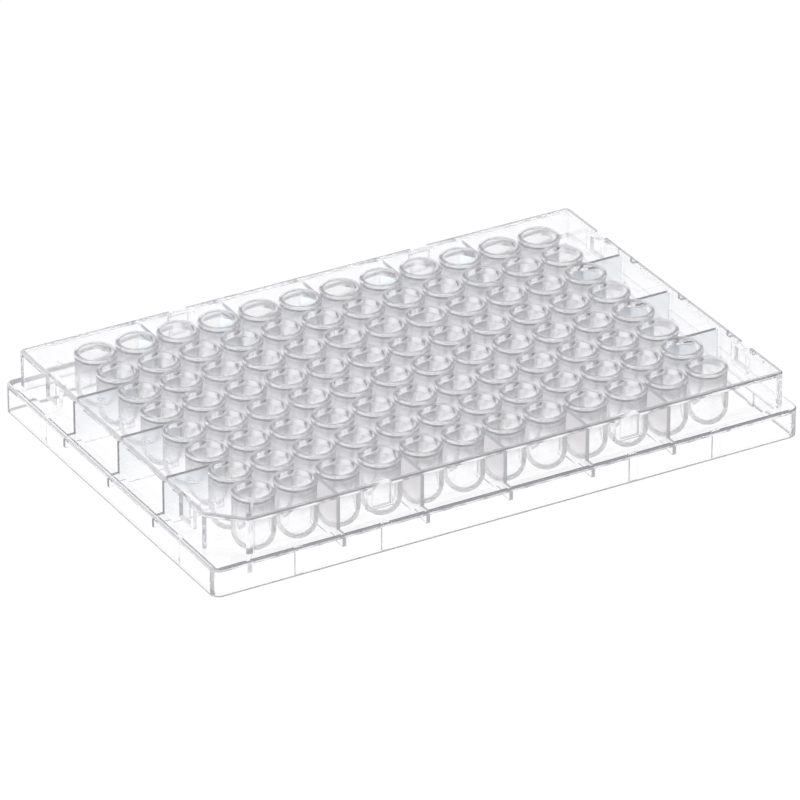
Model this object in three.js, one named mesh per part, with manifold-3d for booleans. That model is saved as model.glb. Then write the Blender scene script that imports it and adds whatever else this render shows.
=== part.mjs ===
// A 96-well microplate with round-bottomed wells, moulded in one piece from
// clear polystyrene. The footprint and the grid of wells follow the common
// laboratory plate format, so the plate fits standard readers and grippers.
//
// Frame, in millimetres: the origin is the middle of the footprint, on the
// surface that the plate stands on. +X runs along the long side from column 1
// to column 12, +Y along the short side from row H to row A, and +Z is up.
//
// The plate is a thin skirt with a narrower wall standing on it. A deck closes
// the wall at the top, the wells hang from the deck as tubes with round ends,
// and thin ribs brace the outer tubes against the wall and the skirt.

import * as THREE from 'three';
import { mergeVertices } from 'three/addons/utils/BufferGeometryUtils.js';
import Module from 'manifold-3d';

const wasm = await Module();
wasm.setup();

// Grid of wells, and the margins from the outer well centres to the plate's
// edges: with them the footprint is the standard 127.76 by 85.48
const ROWS = 8;
const COLUMNS = 12;
const PITCH = 9;
const END_MARGIN = 14.38;
const SIDE_MARGIN = 11.24;

// Skirt
const SKIRT_HEIGHT = 6.1;
const SKIRT_THICKNESS = 1.3;
const SKIRT_CORNER_RADIUS = 2;
const STEP_WIDTH = 2.3;

// Upper wall and deck
const WALL_THICKNESS = 1.2;
const WALL_CORNER_RADIUS = 1;
const KEY_CHAMFER = 6.2;
const LEDGE_THICKNESS = 1.2;
const DECK_TOP = 13.5;
const DECK_THICKNESS = 1.2;

// Wells: an inner cup in an outer tube, with a raised rim around the mouth
const TUBE_GAP = 0.9;
const TUBE_WALL = 0.85;
const TUBE_BOTTOM = 1.9;
const CUP_TAPER = 0.2;
const RIM_HEIGHT = 0.6;
const RIM_FLARE = 0.1;

// Ribs between the outer tubes and the wall
const RIB_THICKNESS = 0.8;
const RIB_BOTTOM = 3.2;
const RIB_SPACING = 2 * PITCH;
const RIB_OVERRUN = 0.6;
const LONG_SIDE_RIBS = 5;
const SHORT_SIDE_RIBS = 3;

// Shallow recesses in the wall and thickened stations on the inside
const RECESS_STATION = 3 * PITCH;
const RECESS_WIDTH = 4;
const RECESS_DEPTH = 0.8;
const RECESS_BOTTOM = 8.6;
const BOSS_MARGIN = 0.8;
const PAD_WIDTH = 1.8;
const PAD_DEPTH = 0.4;
const PAD_OUTER_STATION = 45.5;

// Facets of the round shapes
const CUP_SIDES = 8;
const TUBE_SIDES = 6;
const CORNER_STEPS = 2;

// How far a cutter or a joined piece runs past the face it meets
const OVERLAP = 0.4;

// Faces flatter than this to each other are merged into one
const FLATNESS = 1e-3;

// Derived sizes
const LENGTH = (COLUMNS - 1) * PITCH + 2 * END_MARGIN;
const WIDTH = (ROWS - 1) * PITCH + 2 * SIDE_MARGIN;
const TUBE_RADIUS = (PITCH - TUBE_GAP) / 2;
const CUP_RADIUS = TUBE_RADIUS - TUBE_WALL;
const MOUTH_RADIUS = CUP_RADIUS + CUP_TAPER;
const RIM_RADIUS = TUBE_RADIUS + RIM_FLARE;
const PLATE_TOP = DECK_TOP + RIM_HEIGHT;
const WALL_LENGTH = LENGTH - 2 * STEP_WIDTH;
const WALL_WIDTH = WIDTH - 2 * STEP_WIDTH;
const LEDGE_UNDERSIDE = SKIRT_HEIGHT - LEDGE_THICKNESS;
const DECK_UNDERSIDE = DECK_TOP - DECK_THICKNESS;
const DOME_CENTRE = TUBE_BOTTOM + TUBE_RADIUS;
const LAST_COLUMN_X = ((COLUMNS - 1) / 2) * PITCH;
const ROW_A_Y = ((ROWS - 1) / 2) * PITCH;

// A closed geometry as a manifold solid, with its shared corners merged.
function toSolid(geometry) {
  const bare = geometry.index ? geometry.toNonIndexed() : geometry.clone();
  bare.deleteAttribute('normal');
  bare.deleteAttribute('uv');
  const merged = mergeVertices(bare, 1e-4);
  return new wasm.Manifold(new wasm.Mesh({
    numProp: 3,
    vertProperties: new Float32Array(merged.attributes.position.array),
    triVerts: new Uint32Array(merged.index.array),
  }));
}

// A manifold solid as a geometry that three.js can draw.
function toGeometry(solid) {
  const mesh = solid.getMesh();
  const geometry = new THREE.BufferGeometry();
  geometry.setAttribute('position', new THREE.BufferAttribute(mesh.vertProperties, 3));
  geometry.setIndex(new THREE.BufferAttribute(mesh.triVerts, 1));
  geometry.computeVertexNormals();
  return geometry;
}

// All the solids of a list joined into one.
function joined(solids) {
  return solids.reduce((whole, solid) => whole.add(solid));
}

// A flat outline raised from one height to another.
function raised(outline, bottom, top) {
  const geometry = new THREE.ExtrudeGeometry(outline, {
    depth: top - bottom,
    bevelEnabled: false,
    curveSegments: CORNER_STEPS,
  });
  geometry.translate(0, 0, bottom);
  return toSolid(geometry);
}

// A block given by the middle of its plan, its plan sizes and its two heights.
function block(x, y, sizeX, sizeY, bottom, top) {
  const geometry = new THREE.BoxGeometry(sizeX, sizeY, top - bottom);
  geometry.translate(x, y, (bottom + top) / 2);
  return toSolid(geometry);
}

// A rectangle with rounded corners. A key length replaces the round corner
// by column 1, row H with a straight chamfer that tells the plate's ends apart.
function plateOutline(length, width, cornerRadius, key = 0) {
  const x = length / 2;
  const y = width / 2;
  const r = cornerRadius;
  const outline = new THREE.Shape();
  if (key > 0) {
    outline.moveTo(-x, -y + key);
    outline.lineTo(-x + key, -y);
  } else {
    outline.moveTo(-x, -y + r);
    outline.absarc(-x + r, -y + r, r, Math.PI, 1.5 * Math.PI);
  }
  outline.absarc(x - r, -y + r, r, 1.5 * Math.PI, 2 * Math.PI);
  outline.absarc(x - r, y - r, r, 0, 0.5 * Math.PI);
  outline.absarc(-x + r, y - r, r, 0.5 * Math.PI, Math.PI);
  outline.closePath();
  return outline;
}

// The same rectangle with plain corners, for the inside of the mould's walls.
function cavityOutline(length, width, key = 0) {
  const x = length / 2;
  const y = width / 2;
  const outline = new THREE.Shape();
  outline.moveTo(-x, -y + key);
  if (key > 0) {
    outline.lineTo(-x + key, -y);
  }
  outline.lineTo(x, -y);
  outline.lineTo(x, y);
  outline.lineTo(-x, y);
  outline.closePath();
  return outline;
}

// A profile of [radius, height] pairs turned about the upright axis through
// x, y. The facets straddle the true circle: their corners lie as far outside
// it, in proportion, as their middles lie inside it.
function turned(profile, sides, x, y, firstCorner) {
  const swell = 1 / Math.sqrt(Math.cos(Math.PI / sides));
  const points = profile.map(([radius, height]) => new THREE.Vector2(radius * swell, height));
  const geometry = new THREE.LatheGeometry(points, sides);
  geometry.rotateX(Math.PI / 2);
  geometry.rotateZ(firstCorner);
  geometry.translate(x, y, 0);
  return toSolid(geometry);
}

// The lower end of a tube or cup: a round end about the dome's centre, drawn
// as a flat tip and one sloping band that touch the true sphere.
function domeProfile(radius) {
  const touch = radius * Math.tan(Math.PI / 8);
  return [
    [0, DOME_CENTRE - radius],
    [touch, DOME_CENTRE - radius],
    [radius, DOME_CENTRE - touch],
  ];
}

// Outer tube of one well. The tubes of the end columns have a corner towards
// their row neighbours and the others towards their column neighbours, which
// is where the ribs pass.
function tube(x, y) {
  const isEndColumn = Math.abs(x) > LAST_COLUMN_X - PITCH / 2;
  const firstCorner = isEndColumn ? 0 : Math.PI / 2;
  const profile = [...domeProfile(TUBE_RADIUS), [TUBE_RADIUS, DECK_TOP - OVERLAP], [0, DECK_TOP - OVERLAP]];
  return turned(profile, TUBE_SIDES, x, y, firstCorner);
}

function rim(x, y) {
  const bottom = DECK_TOP - OVERLAP;
  const profile = [[0, bottom], [RIM_RADIUS, bottom], [RIM_RADIUS, PLATE_TOP], [0, PLATE_TOP]];
  return turned(profile, CUP_SIDES, x, y, Math.PI / CUP_SIDES);
}

// The hollow of one well, from its round floor to past the rim.
function cup(x, y) {
  const above = PLATE_TOP + OVERLAP;
  const profile = [...domeProfile(CUP_RADIUS), [MOUTH_RADIUS, PLATE_TOP], [MOUTH_RADIUS, above], [0, above]];
  return turned(profile, CUP_SIDES, x, y, Math.PI / CUP_SIDES);
}

function wellCentres() {
  const centres = [];
  for (let row = 0; row < ROWS; row += 1) {
    for (let column = 0; column < COLUMNS; column += 1) {
      centres.push([-LAST_COLUMN_X + column * PITCH, ROW_A_Y - row * PITCH]);
    }
  }
  return centres;
}

// A rib that starts just behind the line of the outer tubes at x, y and runs out
// in one direction, to the wall above the ledge and to the skirt below it.
function rib(x, y, direction, reachToWall, reachToSkirt) {
  const profile = new THREE.Shape();
  profile.moveTo(-RIB_OVERRUN, RIB_BOTTOM);
  profile.lineTo(reachToSkirt, RIB_BOTTOM);
  profile.lineTo(reachToSkirt, LEDGE_UNDERSIDE + OVERLAP);
  profile.lineTo(reachToWall, LEDGE_UNDERSIDE + OVERLAP);
  profile.lineTo(reachToWall, DECK_UNDERSIDE + OVERLAP);
  profile.lineTo(-RIB_OVERRUN, DECK_UNDERSIDE + OVERLAP);
  profile.closePath();
  const geometry = new THREE.ExtrudeGeometry(profile, { depth: RIB_THICKNESS, bevelEnabled: false });
  geometry.translate(0, 0, -RIB_THICKNESS / 2);
  geometry.rotateX(Math.PI / 2);
  geometry.rotateZ(direction);
  geometry.translate(x, y, 0);
  return toSolid(geometry);
}

// Evenly spaced stations about the middle of a side.
function stations(count, spacing) {
  return Array.from({ length: count }, (_, i) => (i - (count - 1) / 2) * spacing);
}

function ribs() {
  const wallSink = WALL_THICKNESS / 2;
  const skirtSink = SKIRT_THICKNESS / 2;
  const all = [];
  for (const x of stations(LONG_SIDE_RIBS, RIB_SPACING)) {
    const toWall = WALL_WIDTH / 2 - wallSink - ROW_A_Y;
    const toSkirt = WIDTH / 2 - skirtSink - ROW_A_Y;
    all.push(rib(x, ROW_A_Y, Math.PI / 2, toWall, toSkirt));
    all.push(rib(x, -ROW_A_Y, -Math.PI / 2, toWall, toSkirt));
  }
  for (const y of stations(SHORT_SIDE_RIBS, RIB_SPACING)) {
    const toWall = WALL_LENGTH / 2 - wallSink - LAST_COLUMN_X;
    const toSkirt = LENGTH / 2 - skirtSink - LAST_COLUMN_X;
    all.push(rib(LAST_COLUMN_X, y, 0, toWall, toSkirt));
    all.push(rib(-LAST_COLUMN_X, y, Math.PI, toWall, toSkirt));
  }
  all.push(keyRib(wallSink, skirtSink));
  return all;
}

// The rib from the corner well H1 to the front end of the chamfer.
function keyRib(wallSink, skirtSink) {
  const cornerX = -WALL_LENGTH / 2 + KEY_CHAMFER;
  const runX = cornerX + LAST_COLUMN_X;
  const runY = -WALL_WIDTH / 2 + ROW_A_Y;
  const direction = Math.atan2(runY, runX);
  const perDepth = Math.hypot(runX, runY) / Math.abs(runY);
  const toWall = (WALL_WIDTH / 2 - wallSink - ROW_A_Y) * perDepth;
  const toSkirt = (WIDTH / 2 - skirtSink - ROW_A_Y) * perDepth;
  return rib(-LAST_COLUMN_X, -ROW_A_Y, direction, toWall, toSkirt);
}

// A block against each of the four sides, at a station along the side. Its
// near face is inset from the side's outer edge, and it runs inwards by depth.
function sideBlocks(length, width, station, blockWidth, inset, depth, bottom, top) {
  const along = length / 2 - inset - depth / 2;
  const across = width / 2 - inset - depth / 2;
  const blocks = [];
  for (const end of [-1, 1]) {
    for (const side of [-1, 1]) {
      blocks.push(block(side * station, end * across, blockWidth, depth, bottom, top));
      blocks.push(block(end * along, side * station, depth, blockWidth, bottom, top));
    }
  }
  return blocks;
}

function recesses() {
  const depth = RECESS_DEPTH + OVERLAP;
  return sideBlocks(
    WALL_LENGTH, WALL_WIDTH, RECESS_STATION, RECESS_WIDTH,
    -OVERLAP, depth, RECESS_BOTTOM, DECK_TOP + OVERLAP,
  );
}

// Behind each recess the wall swells inwards, so that it keeps its thickness.
function recessBosses() {
  const inset = WALL_THICKNESS / 2;
  const depth = WALL_THICKNESS + RECESS_DEPTH - inset;
  return sideBlocks(
    WALL_LENGTH, WALL_WIDTH, RECESS_STATION, RECESS_WIDTH + 2 * BOSS_MARGIN,
    inset, depth, RECESS_BOTTOM - BOSS_MARGIN, DECK_UNDERSIDE + OVERLAP,
  );
}

// Small upright pads on the inside of the skirt.
function skirtPads() {
  const inset = SKIRT_THICKNESS / 2;
  const depth = SKIRT_THICKNESS + PAD_DEPTH - inset;
  const top = LEDGE_UNDERSIDE + OVERLAP;
  const pads = sideBlocks(LENGTH, WIDTH, RECESS_STATION, PAD_WIDTH, inset, depth, 0, top);
  for (const end of [-1, 1]) {
    for (const side of [-1, 1]) {
      const y = end * (WIDTH / 2 - inset - depth / 2);
      pads.push(block(side * PAD_OUTER_STATION, y, PAD_WIDTH, depth, 0, top));
    }
  }
  return pads;
}

function shell() {
  const skirt = raised(plateOutline(LENGTH, WIDTH, SKIRT_CORNER_RADIUS), 0, SKIRT_HEIGHT);
  const wall = raised(
    plateOutline(WALL_LENGTH, WALL_WIDTH, WALL_CORNER_RADIUS, KEY_CHAMFER),
    LEDGE_UNDERSIDE, DECK_TOP,
  );
  const skirtHollow = raised(
    cavityOutline(LENGTH - 2 * SKIRT_THICKNESS, WIDTH - 2 * SKIRT_THICKNESS),
    -OVERLAP, LEDGE_UNDERSIDE,
  );
  const innerKey = KEY_CHAMFER - WALL_THICKNESS * (2 - Math.SQRT2);
  const wallHollow = raised(
    cavityOutline(WALL_LENGTH - 2 * WALL_THICKNESS, WALL_WIDTH - 2 * WALL_THICKNESS, innerKey),
    -OVERLAP, DECK_UNDERSIDE,
  );
  return skirt.add(wall).subtract(skirtHollow).subtract(wallHollow);
}

function plateSolid() {
  const centres = wellCentres();
  const recessed = shell()
    .add(joined(recessBosses()))
    .subtract(joined(recesses()));
  const braced = recessed
    .add(joined(skirtPads()))
    .add(joined(ribs()));
  const tubes = joined(centres.map(([x, y]) => tube(x, y)));
  const rims = joined(centres.map(([x, y]) => rim(x, y)));
  const cups = joined(centres.map(([x, y]) => cup(x, y)));
  return braced.add(tubes).add(rims).subtract(cups).asOriginal().simplify(FLATNESS);
}

const clearPolystyrene = new THREE.MeshStandardMaterial({
  name: 'clear_polystyrene',
  color: 0xe4e6ea,
  roughness: 0.08,
  metalness: 0,
  transparent: true,
  opacity: 0.45,
});

const plate = new THREE.Mesh(toGeometry(plateSolid()), clearPolystyrene);
plate.name = 'well_plate';

const object = new THREE.Group();
object.name = 'microplate_96_round_bottom';
object.add(plate);

export default object;
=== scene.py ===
import math

import bmesh
import bpy
from mathutils import Matrix, Vector


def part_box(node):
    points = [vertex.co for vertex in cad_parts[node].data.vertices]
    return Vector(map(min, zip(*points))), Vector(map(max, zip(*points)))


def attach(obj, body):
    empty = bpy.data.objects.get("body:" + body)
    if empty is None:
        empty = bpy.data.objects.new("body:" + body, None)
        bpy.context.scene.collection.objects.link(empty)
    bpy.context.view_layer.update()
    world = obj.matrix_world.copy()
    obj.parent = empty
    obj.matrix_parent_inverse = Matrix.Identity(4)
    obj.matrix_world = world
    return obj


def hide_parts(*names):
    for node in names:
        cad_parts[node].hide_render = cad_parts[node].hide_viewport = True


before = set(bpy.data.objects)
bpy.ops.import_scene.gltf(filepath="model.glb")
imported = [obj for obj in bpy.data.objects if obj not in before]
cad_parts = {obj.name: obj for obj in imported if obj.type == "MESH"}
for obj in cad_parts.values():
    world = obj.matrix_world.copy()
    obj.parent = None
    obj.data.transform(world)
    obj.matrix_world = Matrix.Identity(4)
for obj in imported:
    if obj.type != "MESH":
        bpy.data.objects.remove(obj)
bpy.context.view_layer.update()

MM = 0.001

# Outer size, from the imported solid's box
low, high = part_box("well_plate")
LENGTH = high[0] - low[0]
WIDTH = high[1] - low[1]
PLATE_TOP = high[2]

# Grid of wells, with the middle of the plate at x = 0, y = 0 and row A at the back
ROWS = 8
COLUMNS = 12
PITCH = 9 * MM
LAST_COLUMN_X = (COLUMNS - 1) / 2 * PITCH
ROW_A_Y = (ROWS - 1) / 2 * PITCH

# Skirt, step and upper wall
SKIRT_HEIGHT = 6.1 * MM
SKIRT_THICKNESS = 1.3 * MM
SKIRT_CORNER = 2.0 * MM
STEP_WIDTH = 2.3 * MM
WALL_LENGTH = LENGTH - 2 * STEP_WIDTH
WALL_WIDTH = WIDTH - 2 * STEP_WIDTH
WALL_THICKNESS = 1.2 * MM
WALL_CORNER = 1.0 * MM
WALL_INNER_CORNER = 0.3 * MM
KEY_CHAMFER = 6.2 * MM
LEDGE_UNDERSIDE = 4.9 * MM
RIM_HEIGHT = 0.6 * MM
DECK_THICKNESS = 1.2 * MM
DECK_TOP = PLATE_TOP - RIM_HEIGHT
DECK_UNDERSIDE = DECK_TOP - DECK_THICKNESS

# Rounded edges, and the band just inside the wall's top edge, which gets painted shade
EDGE_RADIUS = 0.3 * MM
EDGE_BAND = 0.5 * MM
FOOT_BEVEL = 0.2 * MM
SMALLEST_CORNER = 0.05 * MM

# Wells
TUBE_RADIUS = 4.05 * MM
TUBE_BOTTOM = 1.9 * MM
CUP_RADIUS = 3.2 * MM
MOUTH_RADIUS = 3.4 * MM
RIM_RADIUS = 4.15 * MM
RIM_FILLET = 0.15 * MM
LIP_RADIUS = 0.18 * MM
DOME_CENTRE = TUBE_BOTTOM + TUBE_RADIUS

# Ribs, recesses and pads
RIB_THICKNESS = 0.8 * MM
RIB_BOTTOM = 3.2 * MM
RIB_OVERRUN = 0.6 * MM
RIB_SPACING = 2 * PITCH
LONG_SIDE_RIBS = 5
SHORT_SIDE_RIBS = 3
RECESS_STATION = 3 * PITCH
RECESS_WIDTH = 4 * MM
RECESS_DEPTH = 0.8 * MM
RECESS_BOTTOM = 8.6 * MM
BOSS_MARGIN = 0.8 * MM
PAD_WIDTH = 1.8 * MM
PAD_DEPTH = 0.4 * MM
PAD_OUTER_STATION = 45.5 * MM

# Raised row letters
ROW_LETTERS = "ABCDEFGH"
LETTER_X = -57.4 * MM
LETTER_SIZE = 3.4 * MM
LETTER_HALF_DEPTH = 0.15 * MM
LETTER_MIDDLE = DECK_TOP + 0.05 * MM

# Solids that are joined or cut run this far into each other, and corners that the
# joins leave closer together than a weld are one corner
OVERLAP = 0.4 * MM
WELD = 0.0003 * MM
LETTER_WELD = 0.0001 * MM

# How finely round shapes are divided
ROUND_SIDES = 32
TUBE_DOME_RINGS = 6
CUP_DOME_RINGS = 7
CORNER_STEPS = 6
EDGE_STEPS = 4
FILLET_STEPS = 3
LETTER_STEPS = 3

# Edges that turn by more than this many degrees stay sharp
SHARP_ANGLE = 35


# Mesh helpers -----------------------------------------------------------------


def mesh_object(name, verts, faces):
    mesh = bpy.data.meshes.new(name)
    mesh.from_pydata(verts, [], faces)
    mesh.validate()
    obj = bpy.data.objects.new(name, mesh)
    bpy.context.scene.collection.objects.link(obj)
    return obj


def gathered(name, solids):
    """One object that holds one or more closed solids that don't touch."""
    verts, faces = [], []
    for solid_verts, solid_faces in solids:
        start = len(verts)
        verts.extend(solid_verts)
        faces.extend(tuple(start + i for i in face) for face in solid_faces)
    return mesh_object(name, verts, faces)


def boolean(target, tool, operation):
    modifier = target.modifiers.new(operation.lower(), "BOOLEAN")
    modifier.operation = operation
    modifier.solver = "MANIFOLD"
    modifier.object = tool
    bpy.context.view_layer.objects.active = target
    bpy.ops.object.modifier_apply(modifier=modifier.name)
    bpy.data.objects.remove(tool, do_unlink=True)


def join(target, name, solids):
    boolean(target, gathered(name, solids), "UNION")


def cut(target, name, solids):
    boolean(target, gathered(name, solids), "DIFFERENCE")


def weld(obj):
    """Merge the corners that the joins left almost in one place."""
    bm = bmesh.new()
    bm.from_mesh(obj.data)
    bmesh.ops.remove_doubles(bm, verts=bm.verts, dist=WELD)
    bmesh.ops.dissolve_degenerate(bm, edges=bm.edges, dist=WELD)
    bm.to_mesh(obj.data)
    bm.free()


def smooth_by_angle(obj, degrees):
    """Round faces shade smoothly, and large flat faces stay flat to their edges."""
    obj.data.shade_smooth()
    obj.data.set_sharp_from_angle(angle=math.radians(degrees))
    modifier = obj.modifiers.new("flat_faces", "WEIGHTED_NORMAL")
    modifier.keep_sharp = True
    modifier.weight = 100
    bpy.context.view_layer.objects.active = obj
    bpy.ops.object.modifier_apply(modifier=modifier.name)


# Solids -----------------------------------------------------------------------


def lofted(loops):
    """Closed solid from a stack of outlines of equal length, lowest first."""
    count = len(loops[0])
    verts = [v for loop in loops for v in loop]
    faces = [tuple(reversed(range(count)))]
    for ring in range(len(loops) - 1):
        a = ring * count
        b = a + count
        for i in range(count):
            j = (i + 1) % count
            faces.append((a + i, a + j, b + j, b + i))
    top = (len(loops) - 1) * count
    faces.append(tuple(range(top, top + count)))
    return verts, faces


def plate_outline(length, width, corner, key, z):
    """Rounded rectangle seen from above, anticlockwise, as points at height z.
    With a key length, the corner at -x, -y is cut off by a straight chamfer."""
    x, y = length / 2, width / 2
    sharp = [(x, -y), (x, y), (-x, y)]
    sharp += [(-x, -y + key), (-x + key, -y)] if key else [(-x, -y)]
    corners = [Vector(p) for p in sharp]
    points = []
    for i, here in enumerate(corners):
        before = (corners[i - 1] - here).normalized()
        after = (corners[(i + 1) % len(corners)] - here).normalized()
        half_angle = before.angle(after) / 2
        centre = here + (before + after).normalized() * corner / math.sin(half_angle)
        first = here + before * corner / math.tan(half_angle) - centre
        turn = math.pi - 2 * half_angle
        for step in range(CORNER_STEPS + 1):
            point = centre + Matrix.Rotation(turn * step / CORNER_STEPS, 2) @ first
            points.append((point.x, point.y, z))
    return points


def inset_key(key, inset):
    """Length of the chamfer's legs once the whole outline has moved in."""
    return key - inset * (2 - math.sqrt(2)) if key else 0


def rounded_block(length, width, corner, key, bottom, top, foot=0, band=0):
    """Solid with the plate's outline and rounded edges at its top.
    It may have a bevelled foot, and a band of faces inside its rounded edge."""
    loops = []
    if foot:
        loops.append(plate_outline(length - 2 * foot, width - 2 * foot, corner - foot, key, bottom))
    loops.append(plate_outline(length, width, corner, key, bottom + foot))
    rings = []
    for i in range(EDGE_STEPS + 1):
        angle = math.pi / 2 * i / EDGE_STEPS
        inset = EDGE_RADIUS * (1 - math.cos(angle))
        rings.append((inset, top - EDGE_RADIUS + EDGE_RADIUS * math.sin(angle)))
    if band:
        rings.append((EDGE_RADIUS + band, top))
    for inset, z in rings:
        inner_corner = max(corner - inset, SMALLEST_CORNER)
        inner_key = inset_key(key, inset)
        loops.append(plate_outline(length - 2 * inset, width - 2 * inset, inner_corner, inner_key, z))
    return lofted(loops)


def hollow(length, width, corner, key, top):
    """Straight-sided cutter that opens the plate from below, up to a height."""
    return lofted([plate_outline(length, width, corner, key, z) for z in (-OVERLAP, top)])


def block(x, y, size_x, size_y, bottom, top):
    hx, hy = size_x / 2, size_y / 2
    ring = [(x - hx, y - hy), (x + hx, y - hy), (x + hx, y + hy), (x - hx, y + hy)]
    return lofted([[(px, py, z) for px, py in ring] for z in (bottom, top)])


def turned(profile, x, y):
    """Closed solid turned about the upright axis through x, y.
    The profile runs from the axis at the bottom to the axis at the top."""
    verts = [(x, y, profile[0][1])]
    rings = profile[1:-1]
    for radius, z in rings:
        for i in range(ROUND_SIDES):
            angle = 2 * math.pi * (i + 0.5) / ROUND_SIDES
            verts.append((x + radius * math.cos(angle), y + radius * math.sin(angle), z))
    verts.append((x, y, profile[-1][1]))
    faces = []
    for i in range(ROUND_SIDES):
        j = (i + 1) % ROUND_SIDES
        faces.append((0, 1 + j, 1 + i))
        for ring in range(len(rings) - 1):
            a = 1 + ring * ROUND_SIDES
            b = a + ROUND_SIDES
            faces.append((a + i, a + j, b + j, b + i))
        last = 1 + (len(rings) - 1) * ROUND_SIDES
        faces.append((last + i, last + j, len(verts) - 1))
    return verts, faces


def at_each_well(profile):
    """The same turned solid at every well, row by row from A1."""
    return [
        turned(profile, -LAST_COLUMN_X + column * PITCH, ROW_A_Y - row * PITCH)
        for row in range(ROWS)
        for column in range(COLUMNS)
    ]


# Parts of the plate -----------------------------------------------------------


def dome(radius, rings):
    """Half round end about the dome's centre, from the axis outwards."""
    points = []
    for i in range(rings):
        angle = math.pi / 2 * i / rings
        points.append((radius * math.sin(angle), DOME_CENTRE - radius * math.cos(angle)))
    return points


def rounded_corner(cx, cz, radius, start, end):
    """Arc about cx, cz in a profile, from one angle to another, in degrees."""
    points = []
    for i in range(FILLET_STEPS + 1):
        angle = math.radians(start + (end - start) * i / FILLET_STEPS)
        points.append((cx + radius * math.cos(angle), cz + radius * math.sin(angle)))
    return points


def tube_profile():
    top = DECK_TOP - OVERLAP
    side = [(TUBE_RADIUS, DOME_CENTRE), (TUBE_RADIUS, top)]
    return dome(TUBE_RADIUS, TUBE_DOME_RINGS) + side + [(0, top)]


def rim_profile():
    bottom = DECK_TOP - OVERLAP
    foot = rounded_corner(RIM_RADIUS + RIM_FILLET, DECK_TOP + RIM_FILLET, RIM_FILLET, 250, 180)
    head = rounded_corner(RIM_RADIUS - LIP_RADIUS, PLATE_TOP - LIP_RADIUS, LIP_RADIUS, 0, 90)
    return [(0, bottom), (foot[0][0], bottom)] + foot + head + [(0, PLATE_TOP)]


def cup_profile():
    """The inside of a well: a dome, and a side that widens to a rounded lip."""
    above = PLATE_TOP + OVERLAP
    mouth = rounded_corner(MOUTH_RADIUS + LIP_RADIUS, PLATE_TOP - LIP_RADIUS, LIP_RADIUS, 180, 100)
    side = [(CUP_RADIUS, DOME_CENTRE)] + mouth
    return dome(CUP_RADIUS, CUP_DOME_RINGS) + side + [(mouth[-1][0], above), (0, above)]


def rib(x, y, direction, to_wall, to_skirt):
    """Thin upright web that runs out from the line of the outer tubes."""
    outline = [
        (-RIB_OVERRUN, RIB_BOTTOM),
        (to_skirt, RIB_BOTTOM),
        (to_skirt, LEDGE_UNDERSIDE + OVERLAP),
        (to_wall, LEDGE_UNDERSIDE + OVERLAP),
        (to_wall, DECK_UNDERSIDE + OVERLAP),
        (-RIB_OVERRUN, DECK_UNDERSIDE + OVERLAP),
    ]
    c, s = math.cos(direction), math.sin(direction)
    loops = []
    for side in (0.5, -0.5):
        offset = side * RIB_THICKNESS
        loops.append([(x + a * c - offset * s, y + a * s + offset * c, z) for a, z in outline])
    return lofted(loops)


def stations(count, spacing):
    """Evenly spaced places on either side of the plate's middle."""
    return [(i - (count - 1) / 2) * spacing for i in range(count)]


def ribs():
    """Ribs on all four sides, and one from well H1 to the chamfer."""
    wall_y = WALL_WIDTH / 2 - WALL_THICKNESS / 2 - ROW_A_Y
    skirt_y = WIDTH / 2 - SKIRT_THICKNESS / 2 - ROW_A_Y
    wall_x = WALL_LENGTH / 2 - WALL_THICKNESS / 2 - LAST_COLUMN_X
    skirt_x = LENGTH / 2 - SKIRT_THICKNESS / 2 - LAST_COLUMN_X
    made = []
    for x in stations(LONG_SIDE_RIBS, RIB_SPACING):
        made.append(rib(x, ROW_A_Y, math.pi / 2, wall_y, skirt_y))
        made.append(rib(x, -ROW_A_Y, -math.pi / 2, wall_y, skirt_y))
    for y in stations(SHORT_SIDE_RIBS, RIB_SPACING):
        made.append(rib(LAST_COLUMN_X, y, 0, wall_x, skirt_x))
        made.append(rib(-LAST_COLUMN_X, y, math.pi, wall_x, skirt_x))
    run_x = -WALL_LENGTH / 2 + KEY_CHAMFER + LAST_COLUMN_X
    run_y = -WALL_WIDTH / 2 + ROW_A_Y
    direction = math.atan2(run_y, run_x)
    slant = math.hypot(run_x, run_y) / abs(run_y)
    made.append(rib(-LAST_COLUMN_X, -ROW_A_Y, direction, wall_y * slant, skirt_y * slant))
    return made


def side_blocks(length, width, station, block_width, inset, depth, bottom, top):
    """Eight blocks, at a station on either side of the middle of each side.
    They start an inset within the outline, length by width, and go depth further in."""
    along = length / 2 - inset - depth / 2
    across = width / 2 - inset - depth / 2
    made = []
    for end in (-1, 1):
        for side in (-1, 1):
            made.append(block(side * station, end * across, block_width, depth, bottom, top))
            made.append(block(end * along, side * station, depth, block_width, bottom, top))
    return made


def recesses():
    """Shallow recesses in the outside of the wall."""
    return side_blocks(WALL_LENGTH, WALL_WIDTH, RECESS_STATION, RECESS_WIDTH,
                       -OVERLAP, RECESS_DEPTH + OVERLAP, RECESS_BOTTOM, DECK_TOP + OVERLAP)


def bosses():
    """Thickened places that keep the wall whole behind the recesses."""
    inset = WALL_THICKNESS / 2
    return side_blocks(WALL_LENGTH, WALL_WIDTH, RECESS_STATION, RECESS_WIDTH + 2 * BOSS_MARGIN,
                       inset, WALL_THICKNESS + RECESS_DEPTH - inset,
                       RECESS_BOTTOM - BOSS_MARGIN, DECK_UNDERSIDE + OVERLAP)


def pads():
    """Narrow pads inside the skirt, with four more along the front and the back."""
    inset = SKIRT_THICKNESS / 2
    depth = SKIRT_THICKNESS + PAD_DEPTH - inset
    top = LEDGE_UNDERSIDE + OVERLAP
    made = side_blocks(LENGTH, WIDTH, RECESS_STATION, PAD_WIDTH, inset, depth, 0, top)
    y = WIDTH / 2 - inset - depth / 2
    for end in (-1, 1):
        for side in (-1, 1):
            made.append(block(side * PAD_OUTER_STATION, end * y, PAD_WIDTH, depth, 0, top))
    return made


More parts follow.
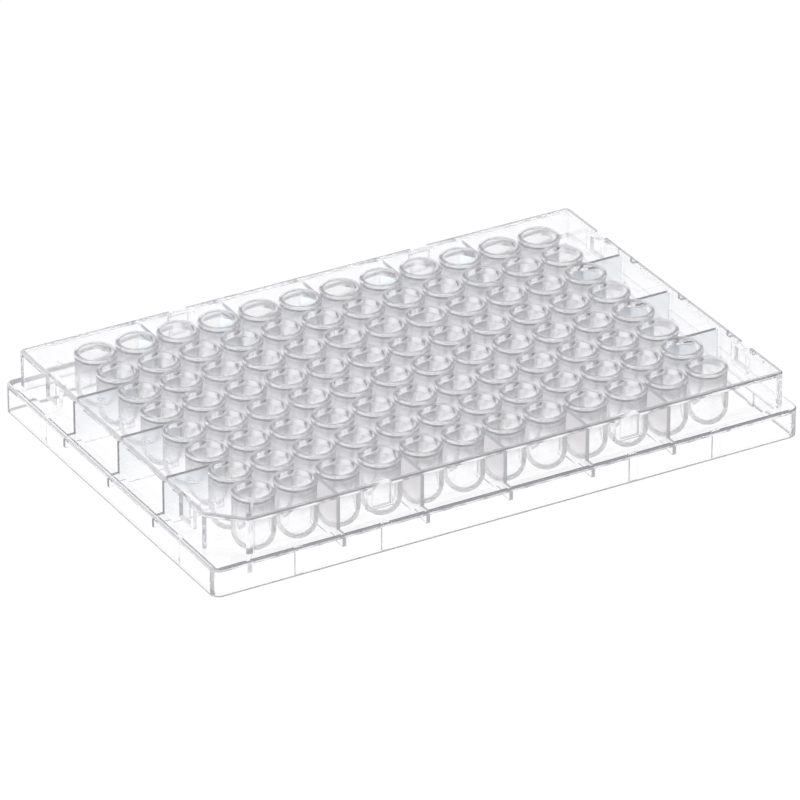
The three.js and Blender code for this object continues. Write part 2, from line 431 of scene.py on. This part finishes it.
def letters():
    """Raised row letters A to H on the deck, left of column 1."""
    made = []
    for row, letter in enumerate(ROW_LETTERS):
        curve = bpy.data.curves.new("letter", "FONT")
        curve.body = letter
        curve.size = LETTER_SIZE
        curve.align_x = "CENTER"
        curve.align_y = "CENTER"
        curve.extrude = LETTER_HALF_DEPTH
        curve.resolution_u = LETTER_STEPS
        obj = bpy.data.objects.new("letter", curve)
        bpy.context.scene.collection.objects.link(obj)
        obj.location = (LETTER_X, ROW_A_Y - row * PITCH, LETTER_MIDDLE)
        bpy.context.view_layer.update()
        graph = bpy.context.evaluated_depsgraph_get()
        mesh = bpy.data.meshes.new_from_object(obj.evaluated_get(graph))
        mesh.transform(obj.matrix_world)
        bm = bmesh.new()
        bm.from_mesh(mesh)
        bmesh.ops.remove_doubles(bm, verts=bm.verts, dist=LETTER_WELD)
        verts = [tuple(v.co) for v in bm.verts]
        faces = [tuple(v.index for v in f.verts) for f in bm.faces]
        bm.free()
        bpy.data.objects.remove(obj, do_unlink=True)
        made.append((verts, faces))
    return made


def build_plate():
    """The whole moulding as one closed mesh."""
    skirt = rounded_block(LENGTH, WIDTH, SKIRT_CORNER, 0, 0, SKIRT_HEIGHT, foot=FOOT_BEVEL)
    wall = rounded_block(WALL_LENGTH, WALL_WIDTH, WALL_CORNER, KEY_CHAMFER,
                         LEDGE_UNDERSIDE, DECK_TOP, band=EDGE_BAND)
    skirt_hollow = hollow(LENGTH - 2 * SKIRT_THICKNESS, WIDTH - 2 * SKIRT_THICKNESS,
                          SKIRT_CORNER - SKIRT_THICKNESS, 0, LEDGE_UNDERSIDE)
    wall_hollow = hollow(WALL_LENGTH - 2 * WALL_THICKNESS, WALL_WIDTH - 2 * WALL_THICKNESS,
                         WALL_INNER_CORNER, inset_key(KEY_CHAMFER, WALL_THICKNESS), DECK_UNDERSIDE)
    plate = mesh_object("clear_well_plate", *skirt)
    join(plate, "wall", [wall])
    cut(plate, "skirt_hollow", [skirt_hollow])
    cut(plate, "wall_hollow", [wall_hollow])
    join(plate, "bosses", bosses())
    cut(plate, "recesses", recesses())
    join(plate, "pads", pads())
    for solid in ribs():
        join(plate, "rib", [solid])
    join(plate, "tubes", at_each_well(tube_profile()))
    join(plate, "rims", at_each_well(rim_profile()))
    cut(plate, "cups", at_each_well(cup_profile()))
    join(plate, "letters", letters())
    weld(plate)
    return plate


# Material ---------------------------------------------------------------------

# What each region of the plate shows, as shares from 0 to 1, stored on its faces:
# - loss: painted shade, a grey for the light that is lost where the plastic mirrors it inside
# - on the edges: painted shade in grey on the rounded edges, the deck's band and the recesses
# - on the wells: a haze that is partly painted shade, on the rims, cups and tubes, which grows towards
#   the mouths
# - on the ribs: painted shade, dark and warm, on the front ribs, and a paler, cool lit copy of it on
#   the other ribs
CHANNELS = ("loss", "edge_shade", "well_haze_and_shade", "front_rib_shade", "other_rib_light")
SHADE_SHARES = {
    "clear": {"loss": 0.1},
    "edge": {"loss": 0.1, "edge_shade": 0.8},
    "band": {"loss": 0.1, "edge_shade": 0.6},
    "recess": {"loss": 0.1, "edge_shade": 0.5},
    "skirt_side": {"loss": 1.0},
    "rim": {"loss": 0.1, "well_haze_and_shade": 0.25},
    "cup": {"loss": 0.55, "well_haze_and_shade": 0.06},
    "tube": {"loss": 0.7, "well_haze_and_shade": 0.55},
    "front_rib": {"loss": 0.9, "front_rib_shade": 0.9},
    "other_rib": {"loss": 0.8, "other_rib_light": 0.4},
}

# Grey of each painted shade and haze. Where the wells' share is above the threshold below, it is the
# tubes'
# Rims and cups get a lavender grey that is partly haze and partly painted shade; the tubes a dark
# painted shade
CUP_HAZE_AND_SHADE = (0.54, 0.537, 0.565, 1)
TUBE_SHADE = (0.22, 0.218, 0.235, 1)
# Front ribs: a darker, warm painted shade. Other ribs: a paler, cool copy, painted as if lit more
FRONT_RIB_SHADE = (0.40, 0.385, 0.39, 1)
OTHER_RIB_LIGHT = (0.72, 0.80, 0.86, 1)
# Painted shade that draws the edges, the deck's band and the recesses in dark grey
EDGE_SHADE = (0.40, 0.395, 0.41, 1)
DENSE_SHADE = 0.5

# Heights between which the painted shade of wells and ribs sets in, from none to all of it
WELL_SHADE_HEIGHTS = (7.8 * MM, 12.3 * MM)
RIB_SHADE_HEIGHTS = (3.0 * MM, 10.0 * MM)

# Painted shade for lost light: the darker grey where the share lost is above STRONG_LOSS.
# It sets in over a range of mirroring, and little of it is left near the wells' mouths
LOST_LIGHT_SHADE = (0.28, 0.278, 0.29, 1)
FAINT_LOSS_SHADE = (0.72, 0.718, 0.74, 1)
STRONG_LOSS = 0.2
MIRRORED_RANGE = (0.15, 1.0)
MOUTH_CLEARING = 0.9

# The plastic itself, with its waves and patches
REFRACTIVE_INDEX = 1.59
PLASTIC_TINT = (0.995, 0.995, 1, 1)
PASSED_LIGHT = (0.995, 0.995, 0.996, 1)
WELL_ROUGHNESS = 0.13
POLISH_RANGE = (0.02, 0.07)
POLISH_SCALE = 900
WAVE_SCALE = 220
WAVE_STRENGTH = 0.06
WAVE_DEPTH = 0.1 * MM


def put(tree, socket, value):
    """Set a node's input to a plain value or link it to another node's output."""
    if isinstance(value, bpy.types.NodeSocket):
        tree.links.new(value, socket)
    else:
        socket.default_value = value


def value_node(tree, operation, first, second):
    node = tree.nodes.new("ShaderNodeMath")
    node.operation = operation
    put(tree, node.inputs[0], first)
    put(tree, node.inputs[1], second)
    return node.outputs["Value"]


def ramp_node(tree, value, start, end):
    """0 below the start, 1 above the end, smooth between them."""
    node = tree.nodes.new("ShaderNodeMapRange")
    node.interpolation_type = "SMOOTHSTEP"
    put(tree, node.inputs["From Min"], start)
    put(tree, node.inputs["From Max"], end)
    put(tree, node.inputs["Value"], value)
    return node.outputs["Result"]


def noise_node(tree, place, scale):
    node = tree.nodes.new("ShaderNodeTexNoise")
    put(tree, node.inputs["Scale"], scale)
    put(tree, node.inputs["Vector"], place)
    return node.outputs["Fac"]


def mixed_colour(tree, share, first, second):
    node = tree.nodes.new("ShaderNodeMix")
    node.data_type = "RGBA"
    put(tree, node.inputs["Factor"], share)
    put(tree, node.inputs["A"], first)
    put(tree, node.inputs["B"], second)
    return node.outputs["Result"]


def mixed_shader(tree, share, first, second):
    node = tree.nodes.new("ShaderNodeMixShader")
    for socket, value in zip(node.inputs, (share, first, second)):
        put(tree, socket, value)
    return node.outputs[0]


def diffuse_node(tree, colour):
    node = tree.nodes.new("ShaderNodeBsdfDiffuse")
    put(tree, node.inputs["Color"], colour)
    return node.outputs[0]


def clear_plastic():
    """Clear moulded polystyrene with painted shade: grey edges, and a faint grey haze on wells and
    ribs.
    """
    material = bpy.data.materials.new("clear_polystyrene")
    material.use_nodes = True
    tree = material.node_tree
    channel = {}
    for name in CHANNELS:
        node = tree.nodes.new("ShaderNodeAttribute")
        node.attribute_name = name
        channel[name] = node.outputs["Fac"]
    place = tree.nodes.new("ShaderNodeTexCoord").outputs["Object"]
    axes = tree.nodes.new("ShaderNodeSeparateXYZ")
    put(tree, axes.inputs[0], place)
    height = axes.outputs["Z"]

    # Faint waves in the moulded surface, and finer patches that are less polished
    bump = tree.nodes.new("ShaderNodeBump")
    put(tree, bump.inputs["Strength"], WAVE_STRENGTH)
    put(tree, bump.inputs["Distance"], WAVE_DEPTH)
    put(tree, bump.inputs["Height"], noise_node(tree, place, WAVE_SCALE))
    polish = tree.nodes.new("ShaderNodeMapRange")
    put(tree, polish.inputs["To Min"], POLISH_RANGE[0])
    put(tree, polish.inputs["To Max"], POLISH_RANGE[1])
    put(tree, polish.inputs["Value"], noise_node(tree, place, POLISH_SCALE))

    # How rough the surface is: the patches, and more of it near the mouths of the wells
    well_fade = ramp_node(tree, height, *WELL_SHADE_HEIGHTS)
    is_well = value_node(tree, "GREATER_THAN", channel["well_haze_and_shade"], 0)
    near_mouth = value_node(tree, "MULTIPLY", well_fade, is_well)
    roughened = value_node(tree, "MULTIPLY", near_mouth, WELL_ROUGHNESS)
    roughness = value_node(tree, "ADD", polish.outputs["Result"], roughened)

    plastic = tree.nodes["Principled BSDF"]
    put(tree, plastic.inputs["Base Color"], PLASTIC_TINT)
    put(tree, plastic.inputs["IOR"], REFRACTIVE_INDEX)
    put(tree, plastic.inputs["Transmission Weight"], 1)
    put(tree, plastic.inputs["Roughness"], roughness)
    put(tree, plastic.inputs["Normal"], bump.outputs["Normal"])

    # Painted shade, a grey diffuse, by region and by height. On wells and ribs it shows from outside
    # only
    rib_fade = ramp_node(tree, height, *RIB_SHADE_HEIGHTS)
    well_haze_and_shade = value_node(tree, "MULTIPLY", well_fade, channel["well_haze_and_shade"])
    front_rib_shade = value_node(tree, "MULTIPLY", rib_fade, channel["front_rib_shade"])
    other_rib_light = value_node(tree, "MULTIPLY", rib_fade, channel["other_rib_light"])
    rib_shade_and_light = value_node(tree, "ADD", front_rib_shade, other_rib_light)
    inner_side = tree.nodes.new("ShaderNodeNewGeometry").outputs["Backfacing"]
    outer_side = value_node(tree, "SUBTRACT", 1, inner_side)
    painted_shade_share = value_node(tree, "ADD", well_haze_and_shade, rib_shade_and_light)
    painted_shade_share = value_node(tree, "MULTIPLY", painted_shade_share, outer_side)
    painted_shade_share = value_node(tree, "ADD", painted_shade_share, channel["edge_shade"])
    is_tube = value_node(tree, "GREATER_THAN", channel["well_haze_and_shade"], DENSE_SHADE)
    tone = mixed_colour(tree, is_tube, CUP_HAZE_AND_SHADE, TUBE_SHADE)
    for name, colour in (("front_rib_shade", FRONT_RIB_SHADE), ("other_rib_light", OTHER_RIB_LIGHT), ("edge_shade", EDGE_SHADE)):
        has_share = value_node(tree, "GREATER_THAN", channel[name], 0)
        tone = mixed_colour(tree, has_share, tone, colour)
    painted_shade = diffuse_node(tree, tone)

    # Painted shade for light lost at each reflection inside the plastic, less so near the mouths
    mirrored = tree.nodes.new("ShaderNodeFresnel")
    put(tree, mirrored.inputs["IOR"], REFRACTIVE_INDEX)
    is_strong = value_node(tree, "GREATER_THAN", channel["loss"], STRONG_LOSS)
    lost_light_shade = diffuse_node(tree, mixed_colour(tree, is_strong, FAINT_LOSS_SHADE, LOST_LIGHT_SHADE))
    inside = ramp_node(tree, mirrored.outputs[0], *MIRRORED_RANGE)
    cleared = value_node(tree, "MULTIPLY", near_mouth, MOUTH_CLEARING)
    kept = value_node(tree, "SUBTRACT", 1, cleared)
    loss_share = value_node(tree, "MULTIPLY", inside, channel["loss"])
    loss_share = value_node(tree, "MULTIPLY", loss_share, kept)

    # Lamps and scattered light reach what is behind the plastic
    see_through = tree.nodes.new("ShaderNodeBsdfTransparent")
    put(tree, see_through.inputs["Color"], PASSED_LIGHT)
    path = tree.nodes.new("ShaderNodeLightPath").outputs
    passing = value_node(tree, "MAXIMUM", path["Is Shadow Ray"], path["Is Diffuse Ray"])

    body = mixed_shader(tree, loss_share, plastic.outputs[0], lost_light_shade)
    body = mixed_shader(tree, painted_shade_share, body, painted_shade)
    body = mixed_shader(tree, passing, body, see_through.outputs[0])
    put(tree, tree.nodes["Material Output"].inputs["Surface"], body)
    return material


# Regions of the plate ---------------------------------------------------------

COLUMN_STATIONS = stations(COLUMNS, PITCH)
ROW_STATIONS = stations(ROWS, PITCH)
LONG_SIDE_STATIONS = stations(LONG_SIDE_RIBS, RIB_SPACING)
SHORT_SIDE_STATIONS = stations(SHORT_SIDE_RIBS, RIB_SPACING)

# Allowances for where the middle of a face may lie
HAIR = 0.01 * MM
NEAR = 0.05 * MM
CLEARANCE = 0.1 * MM
WELL_MARGIN = 0.25 * MM

# Which way a face looks. It is upright where its normal rises less than PLUMB, level
# where it rises more than LEVEL, and looks to a side where it points there past OUTWARD
PLUMB = 0.05
LEVEL = 0.99
OUTWARD = 0.9


def nearest(value, places):
    """Distance from a value to the nearest of several places."""
    return min(abs(value - place) for place in places)


def in_recess(face):
    """Whether a face is one of the two sides or the floor of a recess in the wall."""
    x, y, z = (abs(value) for value in face.center)
    if z < RECESS_BOTTOM - HAIR or z > DECK_TOP - HAIR:
        return False
    on_long_side = (x, y, WALL_WIDTH / 2, face.normal.y)
    on_short_side = (y, x, WALL_LENGTH / 2, face.normal.x)
    for along, out, outer, outward in (on_long_side, on_short_side):
        beside = abs(along - RECESS_STATION) < RECESS_WIDTH / 2 + HAIR
        within = outer - RECESS_DEPTH + HAIR < out < outer
        if beside and within and abs(outward) < OUTWARD:
            return True
    return False


def on_edge_band(face):
    """Whether a face is in the band that runs round the top of the deck."""
    x, y, z = face.center
    from_side = min(WALL_LENGTH / 2 - abs(x), WALL_WIDTH / 2 - abs(y))
    from_chamfer = (WALL_LENGTH / 2 + x + WALL_WIDTH / 2 + y - KEY_CHAMFER) / math.sqrt(2)
    inward = min(from_side, from_chamfer)
    return z > DECK_TOP - HAIR and inward < EDGE_RADIUS + EDGE_BAND - HAIR


def rib_region(face):
    """The region of the rib that a face below the deck belongs to, or None."""
    x, y = face.center.x, face.center.y
    half_thickness = RIB_THICKNESS / 2 + NEAR
    inner_x = WALL_LENGTH / 2 - WALL_THICKNESS - CLEARANCE
    inner_y = WALL_WIDTH / 2 - WALL_THICKNESS - CLEARANCE
    if nearest(x, LONG_SIDE_STATIONS) < half_thickness and abs(y) < inner_y:
        return "front_rib" if y < 0 else "other_rib"
    if nearest(y, SHORT_SIDE_STATIONS) < half_thickness and abs(x) < inner_x:
        return "other_rib"
    return None


def region(face):
    """The name of the plate's region that a face belongs to."""
    x, y, z = face.center
    from_axis = math.hypot(nearest(x, COLUMN_STATIONS), nearest(y, ROW_STATIONS))
    rise = abs(face.normal.z)
    level = rise >= LEVEL
    in_deck = DECK_UNDERSIDE - HAIR < z < DECK_TOP + HAIR
    if from_axis < RIM_RADIUS + WELL_MARGIN and not (level and in_deck):
        if z > DECK_TOP + HAIR and from_axis > CUP_RADIUS + NEAR:
            return "rim"
        from_dome = math.hypot(from_axis, min(z - DOME_CENTRE, 0))
        return "cup" if from_dome < CUP_RADIUS + WELL_MARGIN else "tube"
    if PLUMB < rise < LEVEL:
        return "edge"
    if on_edge_band(face):
        return "band"
    if in_recess(face):
        return "recess"
    if level or z > DECK_UNDERSIDE + CLEARANCE:
        return "clear"
    on_rib = rib_region(face)
    if on_rib:
        return on_rib
    inside_skirt = abs(abs(y) - WIDTH / 2 + SKIRT_THICKNESS) < NEAR
    if inside_skirt and abs(face.normal.y) > OUTWARD:
        return "skirt_side"
    return "clear"


def shade_regions(obj):
    """One plastic for the whole plate, with each region's shares of painted shade stored on its faces.
    """
    mesh = obj.data
    mesh.materials.clear()
    mesh.materials.append(clear_plastic())
    face_shares = [SHADE_SHARES[region(face)] for face in mesh.polygons]
    for name in CHANNELS:
        attribute = mesh.attributes.new(name, "FLOAT", "FACE")
        attribute.data.foreach_set("value", [face_share.get(name, 0) for face_share in face_shares])


# Stage ------------------------------------------------------------------------

# The floor lies just below the plate. It glows, and the world is bright, only for rays
# that see them directly, through plastic or as a reflection
FLOOR_HALF = 2.5
FLOOR_DEPTH = 0.05 * MM
FLOOR_COLOUR = (0.95, 0.95, 0.95, 1)
FLOOR_GLOW = 0.9
AMBIENT = (0.45, 0.45, 0.46, 1)
MIRRORED_STUDIO = (0.93, 0.93, 0.95, 1)
WHITE = (1, 1, 1, 1)

LAMP_PLACE = Vector((-1.2, 0.69, 1.0))
LAMP_SIZE = 0.8
LAMP_POWER = 40

# The camera stands at the photo's angle and looks at a point near the plate's middle
CAMERA_AZIMUTH = math.radians(-29.706)
CAMERA_ELEVATION = math.radians(28.213)
CAMERA_TARGET = Vector((-1.954, -3.276, 7.0)) * MM
CAMERA_DISTANCE = 1.4053
CAMERA_LENS = 329.6
CAMERA_SENSOR = 36
CAMERA_CLIP = (0.05, 20)


def pale_floor():
    half = FLOOR_HALF
    z = -FLOOR_DEPTH
    corners = [(-half, -half, z), (half, -half, z), (half, half, z), (-half, half, z)]
    floor = mesh_object("floor", corners, [(0, 1, 2, 3)])
    material = bpy.data.materials.new("pale_floor")
    material.cycles.emission_sampling = "NONE"
    material.use_nodes = True
    tree = material.node_tree
    paint = tree.nodes["Principled BSDF"]
    put(tree, paint.inputs["Base Color"], FLOOR_COLOUR)
    put(tree, paint.inputs["Roughness"], 1)
    put(tree, paint.inputs["Specular IOR Level"], 0)
    white = tree.nodes.new("ShaderNodeEmission")
    path = tree.nodes.new("ShaderNodeLightPath").outputs
    seen = value_node(tree, "MAXIMUM", path["Is Camera Ray"], path["Is Glossy Ray"])
    seen = value_node(tree, "MAXIMUM", seen, path["Is Transmission Ray"])
    glow = value_node(tree, "MULTIPLY", seen, FLOOR_GLOW)
    body = mixed_shader(tree, glow, paint.outputs[0], white.outputs[0])
    put(tree, tree.nodes["Material Output"].inputs["Surface"], body)
    floor.data.materials.append(material)


def studio_world():
    world = bpy.data.worlds.new("studio")
    bpy.context.scene.world = world
    world.cycles.sampling_method = "NONE"
    world.use_nodes = True
    tree = world.node_tree
    tree.nodes.clear()
    path = tree.nodes.new("ShaderNodeLightPath").outputs
    shades = []
    for colour in (AMBIENT, MIRRORED_STUDIO, WHITE):
        background = tree.nodes.new("ShaderNodeBackground")
        put(tree, background.inputs["Color"], colour)
        shades.append(background.outputs[0])
    ambient, mirrored, seen = shades
    by_plastic = value_node(tree, "MAXIMUM", path["Is Glossy Ray"], path["Is Transmission Ray"])
    shade = mixed_shader(tree, by_plastic, ambient, mirrored)
    shade = mixed_shader(tree, path["Is Camera Ray"], shade, seen)
    output = tree.nodes.new("ShaderNodeOutputWorld")
    put(tree, output.inputs["Surface"], shade)


def side_light():
    """Soft lamp from the left and behind, which doesn't show in the plastic."""
    light = bpy.data.lights.new("side_light", "AREA")
    light.shape = "SQUARE"
    light.size = LAMP_SIZE
    light.energy = LAMP_POWER
    obj = bpy.data.objects.new("side_light", light)
    bpy.context.scene.collection.objects.link(obj)
    obj.location = LAMP_PLACE
    obj.rotation_euler = (-LAMP_PLACE).to_track_quat("-Z", "Y").to_euler()
    obj.visible_glossy = False
    obj.visible_transmission = False


def camera():
    back = Vector((
        math.sin(CAMERA_AZIMUTH) * math.cos(CAMERA_ELEVATION),
        -math.cos(CAMERA_AZIMUTH) * math.cos(CAMERA_ELEVATION),
        math.sin(CAMERA_ELEVATION),
    ))
    data = bpy.data.cameras.new("camera")
    data.sensor_width = CAMERA_SENSOR
    data.lens = CAMERA_LENS
    data.clip_start, data.clip_end = CAMERA_CLIP
    obj = bpy.data.objects.new("camera", data)
    bpy.context.scene.collection.objects.link(obj)
    obj.location = CAMERA_TARGET + back * CAMERA_DISTANCE
    obj.rotation_euler = (-back).to_track_quat("-Z", "Y").to_euler()
    bpy.context.scene.camera = obj


# Light crosses many clear walls on its way through the plate
CLEAR_BOUNCES = 64
DIFFUSE_BOUNCES = 3
TRANSPARENT_BOUNCES = 128

plate = build_plate()
smooth_by_angle(plate, SHARP_ANGLE)
shade_regions(plate)
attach(plate, "root")
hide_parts("well_plate")

pale_floor()
studio_world()
side_light()
camera()

scene = bpy.context.scene
scene.view_settings.view_transform = "Standard"
scene.cycles.max_bounces = CLEAR_BOUNCES
scene.cycles.transmission_bounces = CLEAR_BOUNCES
scene.cycles.glossy_bounces = CLEAR_BOUNCES
scene.cycles.diffuse_bounces = DIFFUSE_BOUNCES
scene.cycles.transparent_max_bounces = TRANSPARENT_BOUNCES
scene.cycles.caustics_reflective = False
scene.cycles.caustics_refractive = False
